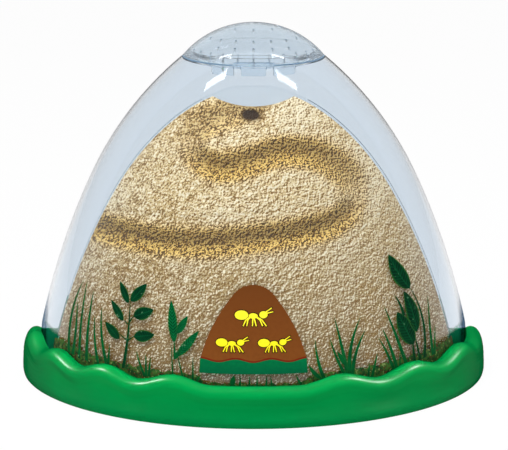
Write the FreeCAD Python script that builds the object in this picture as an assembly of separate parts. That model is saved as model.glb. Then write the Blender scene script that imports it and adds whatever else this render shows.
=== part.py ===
import FreeCAD, Part
import math
import os

# Table-top ant habitat: half a clear dome with a flat back, standing in a green tray.
# Millimetres, +Z up, the front faces -Y. Pieces are modelled about the dome's own axis,
# which lies in the flat back, and are moved as a whole so that the origin is under the
# middle of the tray.

V = FreeCAD.Vector

# Tray
tray_radius = 145.0
rim_height = 23.5
floor_thickness = 2.5
tray_wall = 2.6
wave_rise = 5.0
wave_left_first, wave_left_pitch, wave_left_crests = 20.0, 19.5, 4
wave_right_first, wave_right_pitch, wave_right_crests = 22.0, 21.5, 3
rim_section_step = 3.0
rib_height = 6.0
rib_thickness = 2.0

# Dome, from its straight foot to its mouth
foot_radius = 133.3
foot_band_top = 27.3
dome_top = 196.6
dome_top_radius = 44.3
foot_lean, middle_lean, top_lean = 12.0, 25.5, 50.1
dome_wall = 2.0
mouth_radius = 39.5
ledge_thickness = 1.6

# Lid
lid_radius = 43.9
lid_rise = 20.6
lid_wall = 1.8
seat_ring_thickness = 1.8
skirt_depth = 3.0
skirt_wall = 1.6
tab_depth = 7.5
tab_bead = 0.5
tab_middles = (-29.0, 0.0, 29.0)
tab_half_angle = 11.0
lip_width = 25.0
lip_reach = 2.6
lip_thickness = 2.2
air_hole_radius = 0.55
air_hole_rings = ((16.6, 43.0, 2), (28.8, 21.6, 3), (34.6, 19.0, 2), (38.6, 14.0, 5))

# Sand layer and the clear wall behind it
sand_back = 54.0
sand_layer = 18.0
divider_wall = 2.0
sand_low_point = 173.6
sand_dip_radius = 50.0
tunnel_width = 9.5
tunnel_depth = 3.0
tunnel_route = (
    (-1, 176), (-17, 170), (-30, 165), (-36, 156), (-32, 147), (-20, 142.5), (-4, 145.5),
    (16, 151), (37, 148), (52, 139), (59.5, 128), (57, 117), (45, 110), (27, 107),
    (5, 104.5), (-22, 101.5), (-50, 100), (-78, 100.5), (-112, 101),
)

# Clearances
slide_gap = 0.6
seat_gap = 0.2
skirt_gap = 0.3
sand_gap = 0.3

# Printed film on the dome
film_seat = 0.06
print_film = 0.15
badge_film = 0.3
emblem_film = 0.15

# Places that follow from the sizes above
rim_inner = foot_radius + slide_gap
back_wall_front = dome_wall + slide_gap
tray_back = back_wall_front + tray_wall
axis_y = (tray_radius - tray_back) / 2
dome_bottom = floor_thickness + seat_gap
sand_inset = dome_wall + sand_gap
core_inset = sand_inset + sand_layer
cut_reach = tray_radius + 20.0


# Side curve of the dome: two arcs that meet without a corner
def solve_side_arcs():
    lean = [math.radians(a) for a in (foot_lean, middle_lean, top_lean)]
    inward_low = math.cos(lean[0]) - math.cos(lean[1])
    inward_high = math.cos(lean[1]) - math.cos(lean[2])
    rise_low = math.sin(lean[1]) - math.sin(lean[0])
    rise_high = math.sin(lean[2]) - math.sin(lean[1])
    inward = foot_radius - dome_top_radius
    rise = dome_top - foot_band_top
    spread = inward_low * rise_high - inward_high * rise_low
    low = (inward * rise_high - inward_high * rise) / spread
    high = (inward_low * rise - inward * rise_low) / spread
    low_centre = (foot_radius - low * math.cos(lean[0]), foot_band_top - low * math.sin(lean[0]))
    high_centre = (low_centre[0] + (low - high) * math.cos(lean[1]),
                   low_centre[1] + (low - high) * math.sin(lean[1]))
    return (low, low_centre), (high, high_centre), math.sin(lean[1])


low_arc, high_arc, break_sine = solve_side_arcs()


def arc_radius_at(arc, inset, z):
    return arc[1][0] + math.sqrt((arc[0] - inset) ** 2 - (z - arc[1][1]) ** 2)


def curve_breaks(inset):
    """Heights where the straight foot ends and where the lower arc ends."""
    across = foot_radius - inset - low_arc[1][0]
    foot_end = low_arc[1][1] + math.sqrt((low_arc[0] - inset) ** 2 - across ** 2)
    return foot_end, low_arc[1][1] + (low_arc[0] - inset) * break_sine


def dome_radius(z, inset=0.0):
    foot_end, arc_end = curve_breaks(inset)
    if z <= foot_end:
        return foot_radius - inset
    return arc_radius_at(low_arc if z <= arc_end else high_arc, inset, z)


def dome_edges(inset, low, high, side=1):
    """The side curve as a line and arcs in the XZ plane, from one height up to another."""
    foot_end, arc_end = curve_breaks(inset)

    def point(z):
        return V(side * dome_radius(z, inset), 0, z)

    stops = [low] + [z for z in (foot_end, arc_end) if low < z < high] + [high]
    edges = []
    for start, end in zip(stops, stops[1:]):
        middle = point((start + end) / 2)
        if end <= foot_end:
            edges.append(Part.LineSegment(point(start), point(end)).toShape())
        else:
            edges.append(Part.Arc(point(start), middle, point(end)).toShape())
    return edges


def line(a, b):
    return Part.LineSegment(a, b).toShape()


def face_of(edges):
    return Part.Face(Part.Wire(Part.__sortEdges__(edges)))


def polygon_face(points):
    return Part.Face(Part.makePolygon(list(points) + [points[0]]))


def half_turn(face):
    """Turns a face in the XZ plane half way round the axis, through the front."""
    return face.revolve(V(0, 0, 0), V(0, 0, 1), -180)


def dome_body(inset, low, high):
    edges = dome_edges(inset, low, high)
    edges.append(line(V(dome_radius(high, inset), 0, high), V(0, 0, high)))
    edges.append(line(V(0, 0, high), V(0, 0, low)))
    edges.append(line(V(0, 0, low), V(dome_radius(low, inset), 0, low)))
    return half_turn(face_of(edges))


def half_ring(inner, outer, low, high):
    return half_turn(polygon_face([V(inner, 0, low), V(outer, 0, low), V(outer, 0, high), V(inner, 0, high)]))


def half_disc(radius, low, high, back=0.0):
    """A half cylinder whose flat side lies `back` in front of the dome's axis."""
    disc = half_turn(polygon_face([V(0, 0, low), V(radius, 0, low), V(radius, 0, high), V(0, 0, high)]))
    return disc.common(front_space(back)) if back else disc


def front_space(back):
    """Everything in front of a plane that lies `back` in front of the dome's axis."""
    size = 2 * cut_reach
    return Part.makeBox(size, size, 2 * size, V(-size / 2, -back - size, -size / 2))


# Tray
def wave_at(angle):
    first, pitch, crests = (
        (wave_left_first, wave_left_pitch, wave_left_crests) if angle < 0
        else (wave_right_first, wave_right_pitch, wave_right_crests))
    turns = (abs(angle) - first + pitch / 2) / pitch
    if not 0 < turns < crests:
        return 0.0
    return wave_rise * (1 - math.cos(2 * math.pi * turns)) / 2


# Rim outline: how far in from the outer edge as a share of the rim's width, the height as
# a share of the rim's height, how much of the wave each point follows, and the first share
# again for the rim's two ends, where the hollow of its flank has run out
valley_share = 0.28
rim_outline = (
    (0.04, 0.0, 0.0, 0.04), (0.0, 0.1, 0.0, 0.0), (0.04, 0.2, 0.05, 0.0), (0.15, 0.32, 0.3, 0.005),
    (0.25, 0.44, 0.65, 0.01), (valley_share, 0.55, 0.9, 0.03), (0.2, 0.66, 1.0, 0.07), (0.14, 0.77, 1.0, 0.14),
    (0.24, 0.9, 1.0, 0.3), (0.47, 0.98, 1.0, 0.52), (0.72, 1.0, 1.0, 0.76), (1.0, 0.96, 1.0, 1.0),
)
rim_end_start = 50.0
rim_width = tray_radius - rim_inner
back_wall_height = rim_outline[-1][1] * rim_height


def rim_section(angle):
    turn = math.radians(angle)
    wave = wave_at(angle)
    end = max(0.0, (abs(angle) - rim_end_start) / (90 - rim_end_start))
    end = end * end * (3 - 2 * end)

    def place(radius, z):
        return V(radius * math.sin(turn), -radius * math.cos(turn), z)

    points = [place(tray_radius - (share + (end_share - share) * end) * rim_width, height * rim_height + follow * wave)
              for share, height, follow, end_share in rim_outline]
    skin = Part.BSplineCurve()
    skin.interpolate(Points=points, Parameters=[float(i) for i in range(len(points))])
    foot = place(rim_inner, 0)
    return Part.Wire([skin.toShape(), line(points[-1], foot), line(foot, points[0])])


def make_tray():
    count = int(round(180 / rim_section_step))
    angles = [-90 + 180 * i / count for i in range(count + 1)]
    rim = Part.makeLoft([rim_section(a) for a in angles], True, False)
    ends = [Part.Face(rim_section(a)).extrude(V(0, tray_back, 0)) for a in (-90, 90)]
    floor = half_disc(rim_inner + rim_width / 3, 0, floor_thickness)
    back_floor = Part.makeBox(2 * rim_inner, tray_back, floor_thickness, V(-rim_inner, 0, 0))
    back_wall = Part.makeBox(2 * rim_inner, tray_wall, back_wall_height, V(-rim_inner, back_wall_front, 0))
    tray = rim.fuse(ends + [floor, back_floor, back_wall, make_locating_rib()])
    hollow_outer = tray_radius - valley_share * rim_width - tray_wall
    hollow = half_ring(rim_inner + tray_wall, hollow_outer, -1, rim_height - 2 * tray_wall)
    return tray.cut(hollow.common(front_space(tray_wall))).removeSplitter()


def make_locating_rib():
    """The low wall inside the dome's foot that keeps the dome in place."""
    outer = dome_radius(0, sand_inset)
    base = floor_thickness / 2
    top = floor_thickness + rib_height
    ring = half_disc(outer, base, top, sand_gap)
    return ring.cut(half_disc(outer - rib_thickness, 0, top + 1, sand_gap + rib_thickness))


# Dome
def make_dome_front():
    shell = dome_body(0, dome_bottom, dome_top)
    inside = dome_body(dome_wall, dome_bottom - 1, dome_top - ledge_thickness)
    mouth = half_disc(mouth_radius, dome_top - 3 * ledge_thickness, dome_top + 1)
    return shell.cut(inside.fuse(mouth)).removeSplitter()


def make_dome_back():
    right = dome_edges(0, dome_bottom, dome_top)
    left = dome_edges(0, dome_bottom, dome_top, -1)
    top_radius = dome_radius(dome_top)
    across_top = line(V(-top_radius, 0, dome_top), V(top_radius, 0, dome_top))
    across_foot = line(V(-foot_radius, 0, dome_bottom), V(foot_radius, 0, dome_bottom))
    return face_of(right + left + [across_top, across_foot]).extrude(V(0, dome_wall, 0))


# Lid
lid_bottom = dome_top + seat_gap
cap_radius = (lid_radius ** 2 + lid_rise ** 2) / (2 * lid_rise)
cap_centre = lid_bottom + lid_rise - cap_radius
skirt_radius = mouth_radius - skirt_gap


def cap_body(inset):
    """The lid's dome, solid, with its surface `inset` under the outside."""
    radius = cap_radius - inset
    edge = math.sqrt(radius ** 2 - (lid_bottom - cap_centre) ** 2)
    top = cap_centre + radius
    turn = math.atan2(lid_bottom - cap_centre, edge)
    half_way = (turn + math.pi / 2) / 2
    middle = V(radius * math.cos(half_way), 0, cap_centre + radius * math.sin(half_way))
    arc = Part.Arc(V(edge, 0, lid_bottom), middle, V(0, 0, top)).toShape()
    return half_turn(face_of([arc, line(V(0, 0, top), V(0, 0, lid_bottom)),
                              line(V(0, 0, lid_bottom), V(edge, 0, lid_bottom))]))


def make_lid_back():
    radius = cap_radius
    arc = Part.Arc(V(-lid_radius, 0, lid_bottom), V(0, 0, cap_centre + radius), V(lid_radius, 0, lid_bottom))
    face = face_of([arc.toShape(), line(V(lid_radius, 0, lid_bottom), V(-lid_radius, 0, lid_bottom))])
    return face.extrude(V(0, dome_wall, 0))


def make_tab(middle_angle):
    outline = polygon_face([
        V(skirt_radius - skirt_wall, 0, lid_bottom - tab_depth),
        V(skirt_radius - tab_bead, 0, lid_bottom - tab_depth),
        V(skirt_radius, 0, lid_bottom - tab_depth + 1.5),
        V(skirt_radius, 0, lid_bottom),
        V(skirt_radius - skirt_wall, 0, lid_bottom)])
    start = -90 + middle_angle - tab_half_angle
    outline.rotate(V(0, 0, 0), V(0, 0, 1), start)
    return outline.revolve(V(0, 0, 0), V(0, 0, 1), 2 * tab_half_angle)


def make_lid():
    cap = cap_body(0).cut(cap_body(lid_wall))
    seat = half_ring(skirt_radius - skirt_wall, lid_radius - 1.5, lid_bottom, lid_bottom + seat_ring_thickness)
    skirt = half_disc(skirt_radius, lid_bottom - skirt_depth, lid_bottom + seat_ring_thickness, skirt_gap)
    skirt = skirt.cut(half_disc(skirt_radius - skirt_wall, lid_bottom - 2 * skirt_depth, dome_top + lid_rise,
                                skirt_gap + skirt_wall))
    lip_front = lid_radius + lip_reach
    lip = Part.makeBox(lip_width, lip_reach + 3, lip_thickness, V(-lip_width / 2, -lip_front, lid_bottom))
    lip = lip.cut(half_disc(skirt_radius, lid_bottom - 1, dome_top + lid_rise))
    lid = cap.fuse([seat.common(cap_body(0)), skirt, make_lid_back(), lip] + [make_tab(a) for a in tab_middles])
    holes = []
    for ring_radius, pitch, per_side in air_hole_rings:
        for step in range(-per_side, per_side + 1):
            turn = math.radians(step * pitch)
            at = V(ring_radius * math.sin(turn), -ring_radius * math.cos(turn), cap_centre)
            holes.append(Part.makeCylinder(air_hole_radius, cap_radius + 5, at))
    return lid.cut(holes).removeSplitter()


# Sand
def make_divider():
    """The clear wall behind the sand: a flat plate with a bulge that follows the dome."""
    plate = dome_body(sand_inset, floor_thickness, sand_top).common(front_space(sand_back - divider_wall))
    sand_room = plate.common(front_space(sand_back)).cut(dome_body(core_inset, 0, core_top))
    hollow = dome_body(core_inset + divider_wall, 0, core_top - divider_wall)
    return plate.cut([sand_room, hollow, make_locating_rib()]).removeSplitter()


def radius_height(radius, inset):
    """The height at which the dome's curve, moved in by `inset`, has a given radius."""
    arc = high_arc
    return arc[1][1] + math.sqrt((arc[0] - inset) ** 2 - (radius - arc[1][0]) ** 2)


sand_top = radius_height(sand_back, sand_inset) + 1.0
core_top = radius_height(0.45 * sand_back, core_inset)


def spline_face(points, width):
    """A band of constant width that follows a smooth route in the XZ plane."""
    route = Part.BSplineCurve()
    route.interpolate([V(x, 0, z) for x, z in points])
    first, last = route.FirstParameter, route.LastParameter
    steps = 4 * len(points)
    sides = ([], [])
    for i in range(steps + 1):
        at = first + (last - first) * i / steps
        along = route.tangent(at)[0]
        across = V(-along.z, 0, along.x) * (width / 2)
        sides[0].append(route.value(at) + across)
        sides[1].append(route.value(at) - across)
    edges = []
    for side in sides:
        curve = Part.BSplineCurve()
        curve.interpolate(side)
        edges.append(curve.toShape())
    edges.append(line(sides[0][0], sides[1][0]))
    edges.append(line(sides[0][-1], sides[1][-1]))
    return face_of(edges)


def make_sand():
    heap = dome_body(sand_inset, floor_thickness, sand_top).common(front_space(sand_back))
    heap = heap.cut([dome_body(core_inset, 0, core_top), make_locating_rib()])
    dip = Part.makeCylinder(sand_dip_radius, 2 * cut_reach, V(0, -2 * cut_reach, sand_low_point + sand_dip_radius),
                            V(0, 1, 0))
    band = spline_face(tunnel_route, tunnel_width).extrude(V(0, -cut_reach, 0))
    tunnel = band.cut(dome_body(sand_inset + tunnel_depth, 0, sand_top + 5))
    return heap.cut([dip, tunnel]).removeSplitter()


# Printed film
def film_layer(inner, outer):
    low, high = floor_thickness + rib_height + 6, sand_top
    return dome_body(-outer, low, high).cut(dome_body(-inner, low - 1, high + 1))


def printed(faces, inner, outer):
    """Flat outlines in the XZ plane, laid on the front of the dome as a thin film."""
    layer = film_layer(inner, outer)
    pieces = [face.extrude(V(0, -cut_reach, 0)).common(layer) for face in faces]
    return pieces[0].fuse(pieces[1:]).removeSplitter() if len(pieces) > 1 else pieces[0]


def sideways(root, tip):
    along = V(tip[0] - root[0], 0, tip[1] - root[1])
    across = V(-along.z, 0, along.x).normalize()
    return (V(root[0], 0, root[1]) + V(tip[0], 0, tip[1])) / 2, across


def blade(root, tip, width=1.7, bow=0.0):
    """A grass blade: wide at its root, bowed, and pointed at its tip."""
    middle, across = sideways(root, tip)
    base, point = V(root[0], 0, root[1]), V(tip[0], 0, tip[1])
    left, right = base + across * (width / 2), base - across * (width / 2)
    bend = middle + across * bow
    return face_of([
        Part.Arc(left, bend + across * (width * 0.38), point).toShape(),
        Part.Arc(point, bend - across * (width * 0.38), right).toShape(),
        line(right, left)])


def leaf(root, tip, width, bow=0.0):
    """A pointed leaf between two arcs."""
    middle, across = sideways(root, tip)
    base, point = V(root[0], 0, root[1]), V(tip[0], 0, tip[1])
    return face_of([
        Part.Arc(base, middle + across * (bow + width / 2), point).toShape(),
        Part.Arc(point, middle + across * (bow - width / 2), base).toShape()])


def oval(x, z, length, height, turn=0.0):
    shape = Part.Face(Part.Wire(Part.Ellipse(V(0, 0, 0), length / 2, height / 2).toShape()))
    shape.rotate(V(0, 0, 0), V(1, 0, 0), 90)
    shape.rotate(V(0, 0, 0), V(0, 1, 0), -turn)
    shape.translate(V(x, 0, z))
    return shape


# Plants: root and tip as (sideways from the middle, height), then width and bow
grass_left = [
    blade((-111.2, 27), (-102.4, 69.8), 1.6, 3.4), blade((-108.7, 27), (-106, 57), 1.8, -0.6),
    blade((-104.5, 26), (-99.8, 70.6), 1.6, 1.2), blade((-99.7, 26), (-95.5, 66.5), 1.9, 1.3),
    blade((-92.2, 26), (-94.7, 52.6), 1.7, 1.2), blade((-86.6, 26), (-90.2, 58.5), 2.0, 2.0),
    blade((-86.2, 27), (-85.2, 39), 1.5),
]
sprig_left = [
    blade((-76.9, 27), (-72.7, 66), 1.7, -0.9),
    leaf((-73.9, 63.9), (-79, 75.4), 4.4), leaf((-72.4, 65.2), (-62.8, 76.4), 5.6),
    leaf((-77, 53.6), (-84.4, 64), 4.6), leaf((-70.6, 57.2), (-58.6, 62.6), 7.0),
    leaf((-79.4, 43), (-88, 51), 5.8), leaf((-70.4, 45.8), (-58, 48.6), 6.6),
    blade((-74.2, 52.2), (-76.6, 54.4), 0.9), blade((-73.6, 53), (-70.2, 58), 0.9),
    blade((-75, 43.4), (-80, 46.4), 0.9), blade((-74.9, 42.4), (-69.6, 46.8), 0.9),
]
fern_left = [
    leaf((-46.4, 45.6), (-48.2, 69), 5.8), leaf((-44.8, 50.6), (-38.4, 61), 4.4),
    leaf((-44.6, 38), (-31.8, 53.2), 5.2),
    blade((-47, 25), (-48.2, 45), 0.9), blade((-40.6, 25), (-44.4, 40), 1.1, 0.4),
    blade((-46, 36.4), (-46.4, 47.5), 1.4), leaf((-46.6, 36), (-41.8, 42.6), 2.6),
]
grass_middle = [
    blade((-63.8, 24.5), (-68.8, 38), 1.6, 0.5), blade((-63, 24.5), (-63.2, 36.9), 1.5),
    blade((-61.4, 24.5), (-60.4, 35.9), 1.5),
    blade((-35.3, 24.5), (-35.3, 38.4), 1.3), blade((-33, 24.5), (-30.9, 28.6), 1.4),
    leaf((-12.6, 22.5), (-11.4, 28.9), 3.2),
    blade((-7.9, 22.5), (-7.6, 28.9), 1.4), blade((-2.4, 22.5), (-2.2, 28.9), 1.3),
    blade((2, 22.5), (2.2, 28.9), 1.3), blade((7.4, 22.5), (7.8, 28.9), 1.4),
    blade((10.6, 22.5), (10, 28.9), 1.3), blade((28, 23), (24.9, 28.9), 1.6, 0.5),
]
grass_right = [
    blade((41.9, 24), (36, 47.9), 2.2, 1.4), leaf((40.2, 25), (32, 34.2), 2.4, 0.8),
    blade((54.3, 25), (44.5, 48.3), 1.9, 0.8), blade((55.4, 25), (47.3, 59.4), 2.3, -0.4),
    blade((56.4, 25), (62.8, 57.8), 2.6, 2.8), blade((57.8, 25), (65.8, 50.4), 2.4, 1.9),
    leaf((54.6, 31), (48.9, 40.4), 2.8),
    blade((67.4, 22.5), (68.1, 31.5), 1.5), blade((69.6, 22.5), (73, 36.1), 1.8),
    blade((83.2, 24), (73.7, 44.6), 1.8, -0.8), blade((85.2, 24), (76, 49.6), 2.1, -0.8),
    blade((86.8, 25), (86.8, 34), 1.2), blade((90.6, 27), (77.2, 61.7), 2.0, -0.4),
    blade((107.9, 27), (104.9, 60.9), 1.5, 0.4), blade((109, 27), (109.4, 43.3), 1.1),
]
climber_right = [
    blade((102.2, 27), (93.4, 68.8), 1.6, -4.2),
    leaf((93.4, 68.2), (80.2, 89.8), 8.4, 0.8), leaf((97.6, 43), (89.6, 67.6), 7.4, -1.0),
    leaf((95.4, 36.6), (85.2, 57), 9.4), blade((96, 27), (94.6, 40), 1.6), blade((99.6, 27), (96.6, 40), 1.5),
    blade((89.4, 54), (83.5, 67), 1.6, -0.8),
]
plant_groups = {
    "grass_left": grass_left, "sprig_left": sprig_left, "fern_left": fern_left,
    "grass_middle": grass_middle, "grass_right": grass_right, "climber_right": climber_right,
}

# Moss band: a strip whose upper edge climbs towards both sides in small humps
moss_low = floor_thickness + rib_height + 10
moss_middle_height = 27.6
moss_side_climb = 7.5
moss_hump = 0.8
moss_humps = 27
moss_past_sand = 6.0


def moss_outline():
    reach = math.sqrt(foot_radius ** 2 - sand_back ** 2) + moss_past_sand

    def on_edge(share, rise=0.0):
        return V(share * reach, 0, moss_middle_height + moss_side_climb * share ** 2 + rise)

    edges = []
    for i in range(moss_humps):
        start, middle, end = (-1 + 2 * (i + part) / moss_humps for part in (0, 0.5, 1))
        edges.append(Part.Arc(on_edge(start), on_edge(middle, moss_hump), on_edge(end)).toShape())
    low_left, low_right = V(-reach, 0, moss_low), V(reach, 0, moss_low)
    return face_of(edges + [line(on_edge(1), low_right), line(low_right, low_left), line(low_left, on_edge(-1))])


# Badge: a mountain-shaped label over a wavy grass strip
badge_half_width = 31.0
badge_top = 79.7
badge_bottom = 29.6
strip_top = 37.0
strip_wave = 0.9


def strip_edge():
    points = []
    for i in range(9):
        x = -badge_half_width + badge_half_width * i / 4
        points.append(V(x, 0, strip_top + strip_wave * math.cos(math.pi * i * 0.75)))
    edge = Part.BSplineCurve()
    edge.interpolate(points)
    return edge.toShape(), points[0], points[-1]


def badge_mountain():
    edge, left, right = strip_edge()
    shoulder = badge_top - 6.6
    apex = V(0, 0, badge_top)
    flank = [V(side * 24.8, 0, 54.2) for side in (-1, 1)]
    corner = [V(side * 12.6, 0, shoulder) for side in (-1, 1)]
    return face_of([
        edge, Part.Arc(left, flank[0], corner[0]).toShape(), Part.Arc(corner[0], apex, corner[1]).toShape(),
        Part.Arc(corner[1], flank[1], right).toShape()])


def badge_strip():
    edge, left, right = strip_edge()
    low_left, low_right = V(left.x - 0.6, 0, badge_bottom), V(right.x + 0.6, 0, badge_bottom)
    return face_of([edge, line(right, low_right), line(low_right, low_left), line(low_left, left)])


def ant(x, z, size, facing=1):
    """A plain ant from the side: three ovals, six legs and two feelers."""
    def at(dx, dz):
        return (x + facing * dx * size, z + dz * size)

    body = [(-0.34, 0.02, 0.36, 0.24), (-0.03, 0, 0.24, 0.14), (0.24, 0.03, 0.22, 0.18)]
    faces = [oval(*at(dx, dz), length * size, height * size) for dx, dz, length, height in body]
    for dx, reach in ((-0.1, -0.2), (-0.03, -0.02), (0.04, 0.18)):
        for lift in (0.0, 0.05):
            knee = at(dx + reach * 0.6 + lift, -0.1)
            faces.append(blade(at(dx, -0.02), knee, 0.045 * size))
            faces.append(blade((knee[0], knee[1] + 0.02 * size), at(dx + reach + 2 * lift, -0.26), 0.04 * size))
    faces.append(blade(at(0.28, 0.08), at(0.46, 0.2), 0.035 * size, 0.02 * size))
    faces.append(blade(at(0.3, 0.06), at(0.5, 0.1), 0.035 * size, 0.02 * size))
    return faces


emblem_ants = ((0.5, 62.5, 22.0, 1), (-12.0, 47.0, 19.0, 1), (12.5, 47.0, 19.0, 1))


def export(name, shape):
    moved = shape.copy()
    moved.translate(V(0, axis_y, 0))
    solids = [s for s in moved.Solids if s.Volume > 0.01]
    result = solids[0] if len(solids) == 1 else Part.makeCompound(solids)
    result.exportStep(os.path.join("parts", name + ".step"))
    box = result.BoundBox
    print(name, "solids", len(solids), "valid", result.isValid(), "volume", round(result.Volume, 1),
          "box", [round(v, 2) for v in (box.XMin, box.YMin, box.ZMin, box.XMax, box.YMax, box.ZMax)])
    return result


def main():
    os.makedirs("parts", exist_ok=True)
    export("base_tray", make_tray())
    export("dome_front", make_dome_front())
    export("dome_back", make_dome_back())
    export("vent_lid", make_lid())
    export("sand_divider", make_divider())
    export("sand_fill", make_sand())
    moss_top = film_seat + print_film
    export("moss_band", printed([moss_outline()], film_seat, moss_top).common(front_space(sand_back)))
    for name, faces in plant_groups.items():
        export(name, printed(faces, moss_top + film_seat, moss_top + film_seat + print_film))
    badge_face = film_seat + badge_film
    export("badge_mountain", printed([badge_mountain()], film_seat, badge_face))
    export("badge_strip", printed([badge_strip()], film_seat, badge_face))
    figures = [face for row in emblem_ants for face in ant(*row)]
    export("badge_ants", printed(figures, badge_face + film_seat, badge_face + film_seat + emblem_film))


main()
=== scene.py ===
# %% [markdown]
# A table-top ant habitat: half a clear dome with a flat back, standing in a green tray.
# The measured frame comes in first. It holds the true size and place of every piece, so
# everything modelled here is laid over it and takes its numbers from it.

# %% Load the frame
import math

import bpy
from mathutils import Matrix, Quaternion, Vector, noise


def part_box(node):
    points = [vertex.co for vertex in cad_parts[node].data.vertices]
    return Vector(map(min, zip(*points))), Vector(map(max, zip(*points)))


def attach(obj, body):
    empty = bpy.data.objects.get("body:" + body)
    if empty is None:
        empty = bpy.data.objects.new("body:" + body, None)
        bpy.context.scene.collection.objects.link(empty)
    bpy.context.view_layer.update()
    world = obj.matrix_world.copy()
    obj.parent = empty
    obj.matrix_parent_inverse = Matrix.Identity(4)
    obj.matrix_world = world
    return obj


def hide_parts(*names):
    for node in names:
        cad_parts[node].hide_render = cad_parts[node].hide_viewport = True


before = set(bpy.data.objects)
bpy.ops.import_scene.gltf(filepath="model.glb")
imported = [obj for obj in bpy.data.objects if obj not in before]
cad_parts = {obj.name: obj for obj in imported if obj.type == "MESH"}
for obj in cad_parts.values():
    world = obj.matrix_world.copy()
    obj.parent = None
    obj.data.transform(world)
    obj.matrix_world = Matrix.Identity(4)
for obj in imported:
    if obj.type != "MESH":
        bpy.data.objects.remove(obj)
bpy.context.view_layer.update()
print("frame nodes:", len(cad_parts))

# %% [markdown]
# The sizes that most pieces share are read off the flat back panel, which touches the
# dome's axis, its foot and its top.

# %% Shared sizes
MM = 0.001
panel_low, panel_high = (Vector(corner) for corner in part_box("dome_back"))
axis_y = panel_low.y
foot_radius = panel_high.x
dome_bottom = panel_low.z
dome_top = panel_high.z
dome_wall = panel_high.y - panel_low.y
dome_top_radius = 44.3 * MM
foot_band_top = 27.3 * MM
foot_lean, middle_lean, top_lean = (math.radians(angle) for angle in (12, 25.5, 50.1))
print("dome from", round(dome_bottom / MM, 1), "to", round(dome_top / MM, 1), "mm high")

# %% [markdown]
# Every curved piece follows the dome's side curve: a straight foot, then two arcs that
# meet without a corner. Two unknown radii come from two sums, so the whole curve follows
# from its ends and from how far it leans at three places.


# %% The dome's side curve
def side_arcs():
    inward_low = math.cos(foot_lean) - math.cos(middle_lean)
    inward_high = math.cos(middle_lean) - math.cos(top_lean)
    rise_low = math.sin(middle_lean) - math.sin(foot_lean)
    rise_high = math.sin(top_lean) - math.sin(middle_lean)
    inward, rise = foot_radius - dome_top_radius, dome_top - foot_band_top
    spread = inward_low * rise_high - inward_high * rise_low
    low = (inward * rise_high - inward_high * rise) / spread
    high = (inward_low * rise - inward * rise_low) / spread
    low_x, low_z = foot_radius - low * math.cos(foot_lean), foot_band_top - low * math.sin(foot_lean)
    step = low - high
    high_x, high_z = low_x + step * math.cos(middle_lean), low_z + step * math.sin(middle_lean)
    return (low, low_x, low_z), (high, high_x, high_z)


low_arc, high_arc = side_arcs()
print("side arcs in mm:", [round(arc[0] / MM) for arc in (low_arc, high_arc)])

# %% [markdown]
# Two helpers answer the questions that come back all the time: how wide the dome is at a
# height, and which point of its front lies at a side distance and a height.


# %% Places on the dome
def dome_radius(z, inset=0.0):
    """The dome's radius at height z, with its surface moved in by inset."""
    break_z = low_arc[2] + (low_arc[0] - inset) * math.sin(middle_lean)
    size, x, centre_z = low_arc if z <= break_z else high_arc
    across = (size - inset) ** 2 - (z - centre_z) ** 2
    return min(foot_radius - inset, x + math.sqrt(max(across, 0)))


def on_dome(x, z, lift=0.0):
    """The point of the dome's front at a given side distance and height."""
    radius = dome_radius(z, -lift)
    return Vector((x, axis_y - math.sqrt(max(radius ** 2 - x ** 2, 0)), z))


print("radius half way up:", round(dome_radius(dome_top / 2) / MM, 1), "mm")

# %% [markdown]
# The camera stands well back with a long lens, a little above the lid, and looks down by
# twelve degrees. That is how a catalogue picture keeps the sides of an object upright.

# %% Camera
camera_distance, camera_height, camera_pitch = 1.618, 0.4367, math.radians(12.1)
camera = bpy.data.objects.new("camera", bpy.data.cameras.new("camera"))
bpy.context.collection.objects.link(camera)
camera.location = (0.0003, axis_y - camera_distance, camera_height)
camera.rotation_euler = (math.pi / 2 - camera_pitch, 0, 0)
camera.data.lens = 187.6
camera.data.clip_end = 20
scene = bpy.context.scene
scene.camera = camera
scene.view_settings.view_transform = "Standard"
print("camera at", [round(value, 3) for value in camera.location])

# %% [markdown]
# Shader maths reads best as sums. A small class wraps a socket, and each operator adds one
# Math node, so a mask is written as 1 - speckle * 0.5 and not as a row of nodes.


# %% Shader sums
class Signal:
    def __init__(self, nodes, socket):
        self.nodes = nodes
        self.socket = socket

    def maths(self, operation, *others):
        return self.nodes.sum_of(operation, self, *others)

    def __add__(self, other):
        return self.maths("ADD", other)

    def __sub__(self, other):
        return self.maths("SUBTRACT", other)

    def __rsub__(self, other):
        return self.nodes.sum_of("SUBTRACT", other, self)

    def __mul__(self, other):
        return self.maths("MULTIPLY", other)

    def __truediv__(self, other):
        return self.maths("DIVIDE", other)

    __radd__ = __add__
    __rmul__ = __mul__

    def held(self):
        """The value kept between 0 and 1."""
        return self.nodes.add("ShaderNodeClamp", {}, {"Value": self})

    def ramp(self, low, high):
        """0 at low, 1 at high, straight between them and held beyond them."""
        ends = {"Value": self, "From Min": low, "From Max": high}
        return self.nodes.add("ShaderNodeMapRange", {"clamp": True}, ends)


# %% [markdown]
# Any other node comes from one method that takes its type, its settings and what its
# sockets hold. A few short methods on top of it name the nodes that are used most.


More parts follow.
